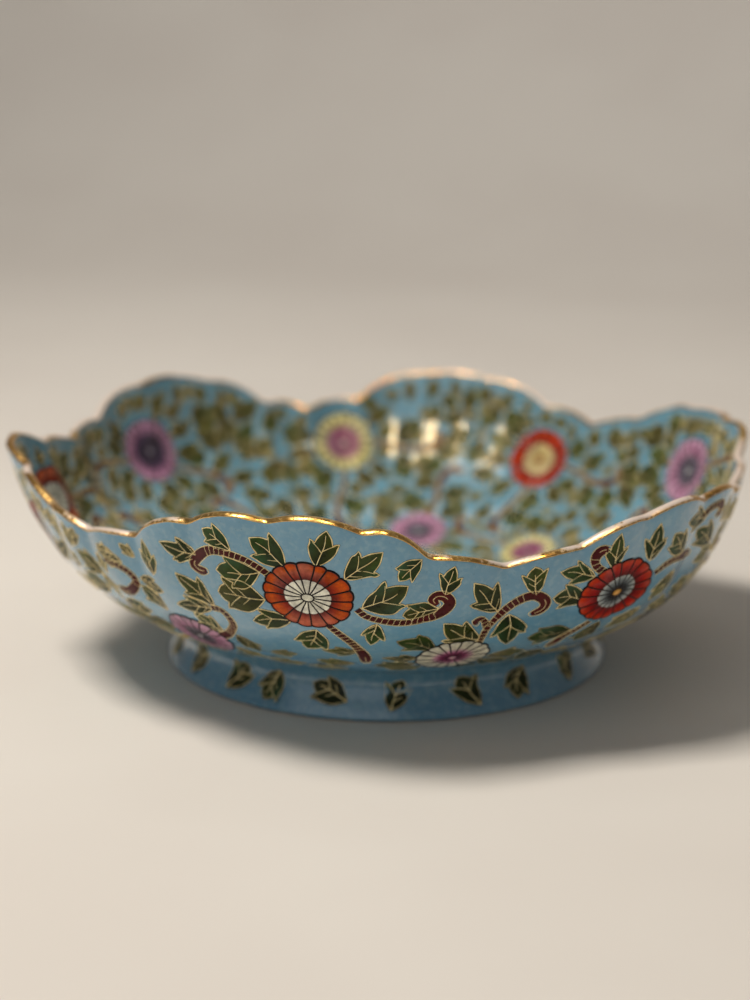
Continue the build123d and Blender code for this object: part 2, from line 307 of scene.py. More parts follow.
def ribbon(work, pts, width, top, edge, colour, mat=0, normal=None, across=(-1, -0.55, 0, 0.55, 1), crown=(0, 0.8, 1, 0.8, 0), blunt=True):
    """A domed line of enamel or gold along pts."""
    pts = np.asarray(pts, float)
    if len(pts) < 2:
        return
    if normal is None:
        a, s = work.surf.drop(pts)
        normal = work.surf.normal(a, s)
    tan = unit(np.gradient(pts, axis=0))
    side = unit(np.cross(normal, tan))
    w = np.broadcast_to(width, len(pts)) / 2.0
    cr = np.array(crown)
    p = pts[None] + side[None] * (np.array(across)[:, None] * w[None])[..., None]
    h = edge + (np.broadcast_to(top, len(pts))[None] - edge) * cr[:, None]
    if blunt:      # the ends come down to the glaze
        p = np.concatenate([p[:, :1] - tan[None, :1] * 0.45 * w[0], p, p[:, -1:] + tan[None, -1:] * 0.45 * w[-1]], 1)
        h = np.concatenate([np.full((len(cr), 1), edge), h, np.full((len(cr), 1), edge)], 1)
        k = [0, *range(len(pts)), len(pts) - 1]
        p[:, 0] = p[:, 0] * 0.5 + p[:, :1].mean(0)[0] * 0.5
        p[:, -1] = p[:, -1] * 0.5 + p[:, -1].mean(0) * 0.5
    work.grid(p, h, colour, mat)


# ------------------------------------------------------------------ colours, linear
def srgb(r, g, b):
    c = np.array([r, g, b]) / 255.0
    return np.where(c <= 0.04045, c / 12.92, ((c + 0.055) / 1.055) ** 2.4)


DARK = srgb(16, 6, 6)
MAROON = srgb(66, 1, 4)
GOLD_TINT = srgb(222, 190, 120)
LEAF_DEEP, LEAF_OLIVE, LEAF_GREEN, LEAF_BLUE = srgb(12, 16, 4), srgb(68, 70, 18), srgb(42, 68, 22), srgb(50, 88, 64)

# blossom enamels: (share of radius, colour), from the eye outwards
BLOSSOMS = {
    "orange": [(0.0, srgb(226, 224, 206)), (0.506, srgb(234, 232, 216)), (0.52, srgb(92, 16, 4)), (0.64, srgb(150, 40, 10)), (0.84, srgb(202, 88, 28)), (1.0, srgb(172, 58, 18))],
    "red": [(0.0, srgb(214, 160, 60)), (0.10, srgb(206, 146, 48)), (0.14, srgb(34, 34, 40)), (0.26, srgb(60, 66, 72)), (0.42, srgb(150, 160, 162)), (0.506, srgb(190, 196, 192)), (0.52, srgb(92, 3, 4)), (0.72, srgb(154, 12, 8)), (0.90, srgb(196, 52, 18)), (1.0, srgb(190, 66, 24))],
    "white": [(0.0, srgb(228, 214, 200)), (0.10, srgb(196, 110, 150)), (0.16, srgb(128, 30, 78)), (0.34, srgb(168, 70, 120)), (0.48, srgb(206, 160, 176)), (0.58, srgb(214, 208, 186)), (1.0, srgb(222, 220, 200))],
    "pink": [(0.0, srgb(210, 200, 200)), (0.12, srgb(150, 150, 160)), (0.20, srgb(84, 82, 98)), (0.44, srgb(128, 112, 128)), (0.54, srgb(172, 114, 144)), (0.80, srgb(194, 146, 172)), (1.0, srgb(206, 168, 188))],
    "mauve": [(0.0, srgb(176, 168, 182)), (0.12, srgb(92, 80, 100)), (0.40, srgb(70, 60, 80)), (0.52, srgb(96, 78, 100)), (0.60, srgb(158, 112, 142)), (0.85, srgb(194, 142, 172)), (1.0, srgb(208, 164, 188))],
    "cream": [(0.0, srgb(226, 190, 200)), (0.12, srgb(176, 110, 134)), (0.40, srgb(168, 98, 128)), (0.54, srgb(184, 138, 152)), (0.62, srgb(212, 202, 134)), (0.85, srgb(220, 210, 152)), (1.0, srgb(224, 216, 170))],
    "coral": [(0.0, srgb(190, 120, 60)), (0.12, srgb(214, 180, 110)), (0.46, srgb(226, 206, 150)), (0.506, srgb(220, 200, 150)), (0.52, srgb(130, 28, 16)), (0.75, srgb(172, 46, 30)), (1.0, srgb(196, 84, 54))],
}


def ramp(stops, x):
    x0 = [s[0] for s in stops]
    return np.stack([np.interp(x, x0, [s[1][k] for s in stops]) for k in range(3)], -1)


# ------------------------------------------------------------------ leaves
def leaf_shape(g, broad=None):
    """Half outlines of a three-lobed leaf one unit long, drawn freehand."""
    broad = g.uniform(0, 1) if broad is None else broad
    halves = []
    for sgn in (1, -1):
        lu = 0.56 + 0.26 * broad + g.uniform(-0.06, 0.06)
        lv = 0.31 + 0.09 * broad + g.uniform(-0.03, 0.03)
        nu, nv = lu - 0.06 + g.uniform(-0.04, 0.03), lv * g.uniform(0.54, 0.66)
        b = g.uniform(0.8, 1.12)
        belly = catmull([(0, 0), (0.10, 0.12 * b), (0.26, 0.25 * b * (0.8 + 0.3 * broad)), (0.44, (0.29 + 0.06 * broad) * b), (lu - 0.10, lv - 0.02), (lu, lv)], 4)
        lobe = catmull([(lu, lv), ((lu + nu) / 2 + 0.01, (lv + nv) / 2 - 0.012), (nu, nv)], 3)
        tip = catmull([(nu, nv), ((nu + 1) / 2 + 0.01, nv * 0.62 + 0.01), (1, 0)], 4)
        half = np.concatenate([belly, lobe[1:], tip[1:]])
        half[:, 1] *= sgn
        halves.append((half, (lu, lv * sgn), (nu, nv * sgn)))
    return halves


def add_leaf(work, base, tip, g, broad=None, lift=0.10, hue=None, gold=0.36, vein=1.0):
    """A leaf from base to tip, both near the wall: domed fill, a dark band round its edge that is painted shadow of the
    raised enamel, gold outline, midrib and veins.
    """
    L = np.linalg.norm(tip - base)
    a, s = work.surf.drop(np.array([(base + tip) / 2]))
    n = work.surf.normal(a, s)[0]
    eu = unit(tip - base)
    eu = unit(eu - n * (eu @ n))
    ev = np.cross(n, eu)
    halves = leaf_shape(g, broad)
    bend = g.uniform(-0.06, 0.06)
    hue = g.uniform(0, 1) if hue is None else hue
    low = work.surf is OUT and (base[2] + tip[2]) / 2 < 37
    if low or work.surf is IN:
        gold = gold * (0.34 if low else 0.48)

    def put(q):
        q = np.asarray(q, float)
        v = q[:, 1] + bend * np.sin(np.pi * q[:, 0])
        return base + (q[:, :1] * eu + v[:, None] * ev) * L

    main = LEAF_OLIVE * (1 - hue) + LEAF_GREEN * hue
    # painted shade: leaves on the foot are halved in brightness for the shadow the bowl casts on the foot
    main = main * g.uniform(0.7, 1.25) * (0.5 if work.surf is RING else 1.0)
    for k, (half, lobe, notch) in enumerate(halves):
        nb, m = 21, len(half)
        mid_u = np.interp(np.arange(m), [0, nb - 1, nb + 5, m - 1], [0.02, max(lobe[0] - 0.30, 0.26), notch[0] - 0.12, 0.97])
        spine = np.stack([mid_u, np.zeros(m)], 1)
        tan = np.gradient(half, axis=0)
        out = unit(np.stack([tan[:, 1], -tan[:, 0]], 1)) * (-1 if half[nb - 1, 1] > 0 else 1)
        # painted shadow: a dark band just outside the leaf's edge, standing for the shadow the raised enamel throws on
        # the glaze
        shadow_band = half + out * (0.42 / L)
        shadow_band[0] = (-0.012, 0)
        shadow_band[-1] = (1 + 0.4 / L, 0)
        rows = [shadow_band, half] + [half + (spine - half) * t for t in (0.14, 0.34, 0.62, 1.0)]
        hs = [-0.03, lift * 0.5, lift * 0.8, lift, lift * 1.05, lift * 0.85]
        p = np.stack([put(r) for r in rows])
        x = np.stack([r[:, 0] for r in rows])
        w = np.abs(np.stack([r[:, 1] for r in rows]))
        shade = np.clip(0.30 + 0.9 * x - 0.35 * (w < 0.05), 0, 1)
        col = LEAF_DEEP + (main - LEAF_DEEP) * shade[..., None]
        if g.uniform() < 0.35:      # one side washed a paler blue-green
            col = col + (LEAF_BLUE - col) * (np.clip((w - 0.08) / 0.2, 0, 1) * np.clip(x * 1.3, 0, 1) * 0.75)[..., None]
        # painted shadow: the band outside the edge and the edge row itself are dark, for the raised enamel's shadow
        col[0], col[1] = srgb(18, 22, 14), srgb(20, 24, 14)
        work.grid(p, np.array(hs)[:, None], col, 0)
    line = dict(colour=GOLD_TINT, mat=1, across=(-1, -0.6, 0.6, 1), crown=(0, 1, 1, 0))
    top, edge = lift * 0.8 + (0.02 if low else 0.055), lift * 0.25
    for half, lobe, notch in halves:
        nrm = np.tile(n, (len(half), 1))
        w = gold * np.clip(1 + 0.25 * np.sin(np.arange(len(half)) * 0.9 + g.uniform(0, 6)), 0.7, 1.3)
        ribbon(work, put(half), w, top, edge, normal=nrm, **line)
    veins = [([(0.0, 0), (0.3, 0.012), (0.6, -0.01), (g.uniform(0.72, 0.88), 0.0)], 0.95)]
    for _, lobe, _n in halves:
        u0 = lobe[0] - 0.30 + g.uniform(-0.04, 0.04)
        veins.append(([(u0, 0), (u0 + (lobe[0] - u0) * 0.5, lobe[1] * 0.42), (u0 + (lobe[0] - u0) * 0.8, lobe[1] * 0.76)], 0.85))
        if g.uniform() < 0.6:
            u1 = u0 - 0.2
            veins.append(([(u1, 0), (u1 + 0.10, lobe[1] * 0.3), (u1 + 0.18, lobe[1] * 0.50)], 0.7))
    for v, k in veins:
        q = put(catmull(v, 4))
        ribbon(work, q, gold * vein * k * np.linspace(1, 0.6, len(q)), lift * 1.05 + (0.02 if low else 0.05), lift * 0.8, normal=np.tile(n, (len(q), 1)), **line)


# ------------------------------------------------------------------ blossoms
def add_blossom(surf, name, a, s, radius, style, g, petals=17, lift=0.26, oval=(1.0, 1.0)):
    work = Enamel(surf)
    p0, n, e1, e2 = frame_at(surf, a, s)
    e1, e2 = e1 * oval[0], e2 * oval[1]
    stops = BLOSSOMS[style]
    per, k0 = 10, g.uniform(0, 2 * math.pi)
    cols = petals * per
    th = np.arange(cols) / cols * 2 * np.pi
    wv = g.uniform(-0.15, 0.15, petals)
    edge_angle = (np.arange(petals) + wv) / petals * 2 * np.pi
    u = np.empty(cols)
    idx = np.empty(cols, int)
    for j, t in enumerate(th):      # place across its petal
        k = np.searchsorted(edge_angle, t, side="right") - 1
        lo = edge_angle[k] if k >= 0 else edge_angle[-1] - 2 * np.pi
        hi = edge_angle[(k + 1) % petals] + (2 * np.pi if k == petals - 1 else 0)
        u[j], idx[j] = (t - lo) / (hi - lo), k % petals
    bulge = np.sqrt(np.clip(1 - (2 * u - 1) ** 2, 0, 1))
    reach = radius * (0.935 + 0.065 * bulge) * (1 + g.uniform(-0.02, 0.02, petals)[idx])
    rho = np.array([0.0, 0.05, 0.10, 0.16, 0.24, 0.32, 0.40, 0.47, 0.505, 0.52, 0.60, 0.68, 0.76, 0.84, 0.91, 0.96, 0.99, 1.0])
    rr = rho[:, None] * reach[None]
    ct, st = np.cos(th + k0), np.sin(th + k0)
    p = p0 + rr[..., None] * (ct[None, :, None] * e1 + st[None, :, None] * e2)
    dome = 0.45 + 0.55 * bulge
    prof = np.interp(rho, [0, 0.1, 0.16, 0.5, 0.6, 0.85, 0.96, 0.99, 1.0], [1.25, 1.2, 0.75, 0.75, 1.05, 1.1, 0.85, 0.45, -0.12])
    h = lift * prof[:, None] * np.where(rho[:, None] > 0.13, dome[None], 1.0)
    h[-1] = -0.05
    x = rho[:, None] + 0.0 * th[None]
    c = ramp(stops, np.clip(x, 0, 1))
    c = c * (0.62 + 0.38 * bulge[None, :, None] ** 0.7) * (1 + g.uniform(-0.12, 0.12, petals)[idx][None, :, None])
    streak = 1 - 0.16 * np.clip(np.cos(u * 4 * np.pi), 0, 1)[None, :, None] * (rho[:, None, None] > 0.5)
    work.grid(p, h, c * streak, 0, wrap=True)
    line = dict(colour=DARK, mat=0, across=(-1, -0.75, 0.75, 1), crown=(0, 1, 1, 0))
    for k in range(petals):         # lines between the petals run on to the eye
        t = edge_angle[k] + k0
        q = np.linspace(0.125, 0.965, 14)
        wob = 0.006 * np.sin(q * 9 + k) * radius
        d = np.array([math.cos(t), math.sin(t)])
        pts = p0 + np.outer(q * radius * 0.96, d[0] * e1 + d[1] * e2) + np.outer(wob, -d[1] * e1 + d[0] * e2)
        ribbon(work, pts, 0.56 * np.interp(q, [0.1, 0.3, 1], [0.8, 0.9, 1.2]), lift * np.interp(q, rho, prof) * 0.7 + 0.10, 0.02, normal=np.tile(n, (14, 1)), **line)
    ring = p0 + (reach[:, None] * 0.985) * (ct[:, None] * e1 + st[:, None] * e2)
    ring = np.concatenate([ring, ring[:1]])
    ribbon(work, ring, 0.70, lift * 0.6 + 0.10, -0.03, normal=np.tile(n, (len(ring), 1)), blunt=False, **line)
    t = np.linspace(0, 2 * np.pi, 41)
    eye = p0 + radius * 0.125 * (np.cos(t)[:, None] * e1 * 1.1 + np.sin(t)[:, None] * e2 * 0.92)
    ribbon(work, eye, 0.50, lift * 1.35, lift * 0.4, normal=np.tile(n, (41, 1)), blunt=False, **line)
    return work.build(name, [M_ENAMEL, M_GOLD])


# ------------------------------------------------------------------ tendrils
def add_tendril(work, pts, g, scale=1.0, hatch=0.62, w0=1.9, w1=3.5):
    """A maroon scroll that thickens to a hooked end, edged and barred in gold."""
    a, s = work.surf.drop(pts)
    pts = work.surf.point(a, s)
    length = np.linalg.norm(np.diff(pts, axis=0), axis=1).sum()
    n = max(int(length / 0.7), 12)
    pts = resample(pts, n)
    a, s = work.surf.drop(pts)
    nrm = work.surf.normal(a, s)
    q = np.linspace(0, 1, n)
    w = np.interp(q, [0, 0.2, 0.5, 0.72, 0.86, 0.96, 1.0], [w0, w0 * 1.2, w1 * 0.74, w1 * 0.98, w1, w1 * 0.85, w1 * 0.6]) * scale
    col = MAROON * (0.75 + 0.5 * q[None, :, None]) * np.ones((7, n, 1))
    col = col * np.array([0.6, 0.9, 1.1, 1.2, 1.1, 0.9, 0.6])[:, None, None]
    tan = unit(np.gradient(pts, axis=0))
    side = unit(np.cross(nrm, tan))
    across = np.array([-1, -0.86, -0.5, 0, 0.5, 0.86, 1])
    p = pts[None] + side[None] * (across[:, None] * w[None] / 2)[..., None]
    h = np.array([-0.04, 0.10, 0.14, 0.16, 0.14, 0.10, -0.04])[:, None] * np.ones((1, n))
    end = pts[-1] + tan[-1] * w[-1] * 0.35
    p = np.concatenate([p, (p[:, -1:] * 0.45 + end * 0.55)], 1)
    h = np.concatenate([h, np.full((7, 1), -0.04)], 1)
    col = np.concatenate([col, col[:, -1:]], 1)
    work.grid(p, h, col, 0)
    line = dict(colour=GOLD_TINT * 0.95, mat=1, across=(-1, -0.6, 0.6, 1), crown=(0, 1, 1, 0))
    k = np.arange(-8, 9)
    cap_c = pts[-1]
    ang = np.linspace(-np.pi / 2, np.pi / 2, 9)
    cap = cap_c + (np.cos(ang)[:, None] * tan[-1] + np.sin(ang)[:, None] * side[-1]) * w[-1] * 0.5
    loop = np.concatenate([pts - side * (w / 2)[:, None], cap[1:-1], (pts + side * (w / 2)[:, None])[::-1]])
    ln = np.concatenate([nrm, np.tile(nrm[-1], (7, 1)), nrm[::-1]])
    ribbon(work, loop, 0.20, 0.17, 0.0, normal=ln, **line)
    step = 1.85 * scale
    for d in np.arange(1.6, length * hatch, step):
        f = d / length * (n - 1)
        i = int(f)
        t = f - i
        c = pts[i] * (1 - t) + pts[i + 1] * t
        slant = tan[i] * w[i] * 0.12
        sd = side[i] * w[i] * 0.5
        seg = np.stack([c - sd - slant, c - sd * 0.3, c + sd * 0.3, c + sd + slant])
        ribbon(work, seg, 0.19, 0.20, 0.08, normal=np.tile(nrm[i], (4, 1)), **line)
    # a thin gold curl inside the hook
    m = int(n * 0.80)
    curl = pts[m:-1] + side[m:-1] * (w[m:-1] * 0.02)[:, None]
    if len(curl) > 3:
        ribbon(work, curl, 0.26, 0.22, 0.12, normal=nrm[m:-1], **line)
    return pts


# ------------------------------------------------------------------ procedural materials
def nodes_for(name):
    m = bpy.data.materials.new(name)
    m.use_nodes = True
    nt = m.node_tree
    b = nt.nodes["Principled BSDF"]
    return m, nt, b


def node(nt, kind, inputs=None, **props):
    nd = nt.nodes.new(kind)
    for k, v in props.items():
        setattr(nd, k, v)
    for k, v in (inputs or {}).items():
        if hasattr(v, "is_output"):
            nt.links.new(v, nd.inputs[k])
        else:
            nd.inputs[k].default_value = v
    return nd


def noise(nt, co, scale, detail=2.0, rough=0.5, distort=0.0):
    return node(nt, "ShaderNodeTexNoise", {"Vector": co, "Scale": scale, "Detail": detail, "Roughness": rough, "Distortion": distort}).outputs["Fac"]


def span(nt, v, lo, hi, a=0.0, b=1.0):
    return node(nt, "ShaderNodeMapRange", {"Value": v, "From Min": lo, "From Max": hi, "To Min": a, "To Max": b}, interpolation_type="SMOOTHSTEP").outputs["Result"]


def math_(nt, op, a, b=0.0):
    return node(nt, "ShaderNodeMath", {0: a, 1: b}, operation=op).outputs[0]


def mix(nt, f, a, b, mode="MIX"):
    nd = node(nt, "ShaderNodeMix", {"Factor": f}, data_type="RGBA", blend_type=mode)
    for k, v in ((6, a), (7, b)):
        if hasattr(v, "is_output"):
            nt.links.new(v, nd.inputs[k])
        else:
            nd.inputs[k].default_value = (*v, 1)
    return nd.outputs[2]


def bump(nt, height, strength, distance, normal=None):
    nd = node(nt, "ShaderNodeBump", {"Height": height, "Strength": strength, "Distance": distance})
    if normal is not None:
        nt.links.new(normal, nd.inputs["Normal"])
    return nd.outputs["Normal"]


def glaze_material(name, foot=False):
    """Turquoise ground under a clear gloss, darkened on the foot as painted shade; white glaze below the bowl; bare
    biscuit on the tread.
    """
    m, nt, b = nodes_for(name)
    co = node(nt, "ShaderNodeNewGeometry").outputs["Position"]
    xyz = node(nt, "ShaderNodeSeparateXYZ", {"Vector": co})
    cloud = noise(nt, co, 26.0, 3.0, 0.55)
    fine = noise(nt, co, 420.0, 3.0, 0.6)
    speck = noise(nt, co, 1500.0, 1.0, 0.5)
    # painted shade: the foot's turquoise is darkened to stand for the shadow under the bowl's overhang
    foot_shade = 0.76 if foot else 1.0
    col = mix(nt, span(nt, cloud, 0.3, 0.7), G_LOW * foot_shade, G_HIGH * foot_shade)
    facing = node(nt, "ShaderNodeSeparateXYZ", {"Vector": node(nt, "ShaderNodeNewGeometry").outputs["Normal"]})
    if not foot:        # a greener turquoise inside
        col = mix(nt, span(nt, facing.outputs["Z"], -0.1, 0.25), col, mix(nt, span(nt, cloud, 0.3, 0.7), G_IN_LOW, G_IN_HIGH))
    col = mix(nt, span(nt, fine, 0.42, 0.72, 0.0, 0.30), col, G_PALE)
    col = mix(nt, span(nt, speck, 0.735, 0.77, 0.0, 0.5), col, G_SPECK)
    r2 = math_(nt, "ADD", math_(nt, "MULTIPLY", xyz.outputs["X"], xyz.outputs["X"]), math_(nt, "MULTIPLY", xyz.outputs["Y"], xyz.outputs["Y"]))
    wob = math_(nt, "MULTIPLY", math_(nt, "SUBTRACT", noise(nt, co, 90.0), 0.5), 0.0012)
    if foot:
        inside = span(nt, math_(nt, "ADD", math_(nt, "POWER", r2, 0.5), wob), 0.0737, 0.0741, 1.0, 0.0)
        bare = span(nt, math_(nt, "ADD", xyz.outputs["Z"], wob), 0.0004, 0.0010, 1.0, 0.0)
    else:
        inside = math_(nt, "MULTIPLY", span(nt, xyz.outputs["Z"], 0.01545, 0.0156, 1.0, 0.0), span(nt, r2, 0.0725 ** 2, 0.0728 ** 2, 1.0, 0.0))
        bare = None
    white = mix(nt, span(nt, cloud, 0.3, 0.7), srgb(222, 224, 216), srgb(206, 212, 206))
    col = mix(nt, inside, col, white)
    rough = span(nt, noise(nt, co, 60.0, 2.0), 0.3, 0.7, 0.13, 0.20)
    if bare is not None:
        biscuit = mix(nt, span(nt, noise(nt, co, 700.0, 4.0, 0.7), 0.3, 0.7), srgb(186, 172, 150), srgb(214, 204, 188))
        col = mix(nt, bare, col, biscuit)
        rough = math_(nt, "ADD", rough, math_(nt, "MULTIPLY", bare, 0.6))
        nt.links.new(math_(nt, "SUBTRACT", 1.0, bare), b.inputs["Coat Weight"])
    else:
        b.inputs["Coat Weight"].default_value = 1.0
    nt.links.new(col, b.inputs["Base Color"])
    nt.links.new(rough, b.inputs["Roughness"])
    b.inputs["IOR"].default_value = 1.5
    b.inputs["Coat Roughness"].default_value = 0.22 if foot else 0.05
    n1 = bump(nt, noise(nt, co, 95.0, 2.0, 0.5), 0.35, 0.00035)
    n2 = bump(nt, fine, 0.15, 0.00008, n1)
    nt.links.new(n2, b.inputs["Normal"])
    nt.links.new(n1, b.inputs["Coat Normal"])
    return m


def enamel_material(name):
    """Painted overglaze enamels: the piece's own colours, thin in places, with brush drag and pooled edges."""
    m, nt, b = nodes_for(name)
    co = node(nt, "ShaderNodeNewGeometry").outputs["Position"]
    tint = node(nt, "ShaderNodeAttribute", attribute_name="tint").outputs["Color"]
    pool = noise(nt, co, 300.0, 3.0, 0.6)
    drag = noise(nt, co, 1300.0, 3.0, 0.7, 0.6)
    v = math_(nt, "MULTIPLY", span(nt, pool, 0.25, 0.75, 0.72, 1.28), span(nt, drag, 0.25, 0.75, 0.86, 1.14))
    hsv = node(nt, "ShaderNodeHueSaturation", {"Color": tint, "Value": v, "Saturation": span(nt, noise(nt, co, 120.0), 0.3, 0.7, 0.88, 1.12)})
    nt.links.new(hsv.outputs["Color"], b.inputs["Base Color"])
    nt.links.new(span(nt, pool, 0.3, 0.7, 0.26, 0.42), b.inputs["Roughness"])
    b.inputs["Coat Weight"].default_value = 0.08
    b.inputs["Coat Roughness"].default_value = 0.08
    b.inputs["IOR"].default_value = 1.22
    nt.links.new(bump(nt, drag, 0.35, 0.00010), b.inputs["Normal"])
    return m


def gold_line_material(name):
    """Matt painted gold, laid with a fine brush: pale where thick, brown where it has rubbed thin."""
    m, nt, b = nodes_for(name)
    co = node(nt, "ShaderNodeNewGeometry").outputs["Position"]
    grain = noise(nt, co, 900.0, 4.0, 0.65)
    patch = noise(nt, co, 160.0, 2.0)
    col = mix(nt, span(nt, grain, 0.3, 0.7), srgb(236, 206, 132), srgb(254, 240, 184))
    col = mix(nt, span(nt, patch, 0.64, 0.78, 0.0, 0.45), col, srgb(150, 112, 60))
    nt.links.new(col, b.inputs["Base Color"])
    b.inputs["Metallic"].default_value = 0.12
    nt.links.new(span(nt, grain, 0.3, 0.7, 0.30, 0.48), b.inputs["Roughness"])
    nt.links.new(bump(nt, grain, 0.5, 0.00008), b.inputs["Normal"])
    return m


def gilt_material(name):
    """Burnished gilding, rubbed through to pale ground here and there along the crest."""
    m, nt, b = nodes_for(name)
    co = node(nt, "ShaderNodeNewGeometry").outputs["Position"]
    xyz = node(nt, "ShaderNodeSeparateXYZ", {"Vector": node(nt, "ShaderNodeNewGeometry").outputs["Normal"]})
    grain = noise(nt, co, 700.0, 4.0, 0.65)
    patch = noise(nt, co, 60.0, 3.0, 0.6)
    col = mix(nt, span(nt, grain, 0.3, 0.7), srgb(214, 166, 92), srgb(238, 204, 136))
    col = mix(nt, span(nt, patch, 0.46, 0.66, 0.0, 0.5), col, srgb(190, 130, 64))
    crest = span(nt, xyz.outputs["Z"], 0.25, 0.8)
    worn = math_(nt, "MULTIPLY", span(nt, math_(nt, "ADD", noise(nt, co, 34.0, 4.0, 0.65), math_(nt, "MULTIPLY", grain, 0.10)), 0.53, 0.60), crest)
    col = mix(nt, worn, col, srgb(222, 204, 190))
    nt.links.new(col, b.inputs["Base Color"])
    nt.links.new(math_(nt, "SUBTRACT", 1.0, math_(nt, "MULTIPLY", worn, 0.85)), b.inputs["Metallic"])
    nt.links.new(math_(nt, "ADD", span(nt, grain, 0.3, 0.7, 0.16, 0.30), math_(nt, "MULTIPLY", worn, 0.12)), b.inputs["Roughness"])
    n1 = bump(nt, noise(nt, co, 240.0, 3.0, 0.55), 0.6, 0.00030)
    nt.links.new(bump(nt, grain, 0.35, 0.00008, n1), b.inputs["Normal"])
    return m


def stage_material(name, a, c):
    m, nt, b = nodes_for(name)
    co = node(nt, "ShaderNodeNewGeometry").outputs["Position"]
    nt.links.new(mix(nt, span(nt, noise(nt, co, 5.0, 3.0), 0.3, 0.7), a, c), b.inputs["Base Color"])
    b.inputs["Roughness"].default_value = 0.75
    nt.links.new(bump(nt, noise(nt, co, 240.0, 3.0), 0.08, 0.0004), b.inputs["Normal"])
    return m


G_LOW, G_HIGH = srgb(90, 146, 176), srgb(103, 158, 187)
G_IN_LOW, G_IN_HIGH = srgb(94, 142, 162), srgb(106, 153, 172)
G_PALE, G_SPECK = srgb(150, 188, 196), srgb(54, 86, 98)
M_GLAZE = glaze_material("turquoise_glaze")
M_FOOT = glaze_material("turquoise_glaze_foot", foot=True)
M_ENAMEL = enamel_material("painted_enamel")
M_GOLD = gold_line_material("gold_line")
M_GILT = gilt_material("rim_gilding")

# ------------------------------------------------------------------ the bowl, its lip and its foot
COLS = 720
ca = np.arange(COLS) / COLS * 360.0 - 180.0
rim = at(G_RIM, ca)
CREST = 1.42
top_out = OUT.height(rim - CREST - 0.15)
top_in = IN.height(rim - CREST + 0.55)
OUT.cap, IN.cap = (np.interp(GA, ca, t, period=360.0) - 0.35 for t in (top_out, top_in))
S0 = 34.0


def wall_rows(surf, top, n):
    k = np.linspace(0, 1, n)[:, None]
    s = S0 + (top[None] - S0) * k
    return surf.point(np.broadcast_to(ca, s.shape), s)


def lip_frame():
    """Middle of the lip, its half width, and the directions across and up it."""
    mid, half = (po + pi_) / 2, (po - pi_) / 2
    l = np.linalg.norm(half, axis=1, keepdims=True)
    rad = np.stack([np.sin(np.radians(ca)), -np.cos(np.radians(ca)), ca * 0], 1)
    up = unit(-half[:, 2:3] * rad + np.array([0, 0, 1.0]) * (half * rad).sum(1, keepdims=True))
    return mid, l, half / l, up


def lip_point(angle, grow=0.0):
    """Point on the rounded lip: 0 at its outer side, pi at its inner."""
    mid, l, across, up = lip_frame()
    t = np.broadcast_to(angle, len(ca))[:, None]
    return mid + (across * np.cos(t) + up * np.sin(t) * 0.92) * (l + grow)


flat_k = np.linspace(1.0, S0, 10)[:-1, None]
po, pi_ = OUT.point(ca, top_out), IN.point(ca, top_in)
out_flat = OUT.point(np.broadcast_to(ca, (9, COLS)), np.broadcast_to(flat_k, (9, COLS)))
in_flat = IN.point(np.broadcast_to(ca, (9, COLS)), np.broadcast_to(flat_k, (9, COLS)))
body = np.concatenate([out_flat, wall_rows(OUT, top_out, 52), np.stack([lip_point(x) for x in np.linspace(0, math.pi, 13)[1:-1]]), wall_rows(IN, top_in, 54)[::-1], in_flat[::-1]])
rows = len(body)
verts = np.concatenate([body.reshape(-1, 3), [[0, 0, 12.3], [0, 0, 15.9]]])
faces = grid_faces(rows, COLS, True)
j = np.arange(COLS)
k = (j + 1) % COLS
low = np.stack([np.full(COLS, rows * COLS), k, j, np.full(COLS, -1)], 1)
high = np.stack([np.full(COLS, rows * COLS + 1), (rows - 1) * COLS + j, (rows - 1) * COLS + k, np.full(COLS, -1)], 1)
bowl = new_object("bowl_wall", verts, np.concatenate([faces, low, high]), [M_GLAZE])
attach(bowl, "root")
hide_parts("bowl_body")

# foot: outside flare, glaze fillets into the bowl above, tread slightly rounded at both edges
prof_out = spline([0, 1, 2, 3, 4], [78.05, 79.3, 75.9, 74.4, 75.2], np.linspace(0.0, 4, 45))
prof_z = spline([0, 1, 2, 3, 4], [0.35, 1.8, 7.5, 12.5, 15.6], np.linspace(0.0, 4, 45))
ring_pts = [(76.2, 0.0), (77.4, 0.02), (77.85, 0.14)] + list(zip(prof_out, prof_z)) + [(75.9, 16.3), (77.0, 16.95), (78.6, 17.6), (80.6, 18.35), (80.6, 19.2)]
inner_pts = [(67.4, 15.4), (67.4, 14.42), (69.2, 14.3), (70.1, 13.5), (70.45, 12.2), (71.2, 8.6), (72.2, 4.6), (73.0, 1.6), (73.5, 0.5), (74.2, 0.1), (75.0, 0.0), (76.2, 0.0)]
profile = np.array(ring_pts + inner_pts[:-1])
n_p = len(profile)
t = np.radians(ca)
wav = 1 + 0.0009 * np.sin(3 * t + 0.6) + 0.0006 * np.sin(7 * t)
fv = np.stack([profile[:, :1] * np.sin(t) * wav, -profile[:, :1] * np.cos(t) * wav, np.broadcast_to(profile[:, 1:], (n_p, COLS))], -1)
ff = grid_faces(n_p, COLS, True)
last = np.stack([(n_p - 1) * COLS + j, (n_p - 1) * COLS + k, k, j], 1)
foot = new_object("foot_wall", fv.reshape(-1, 3), np.concatenate([ff, last]), [M_FOOT])
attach(foot, "root")
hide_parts("foot_ring")

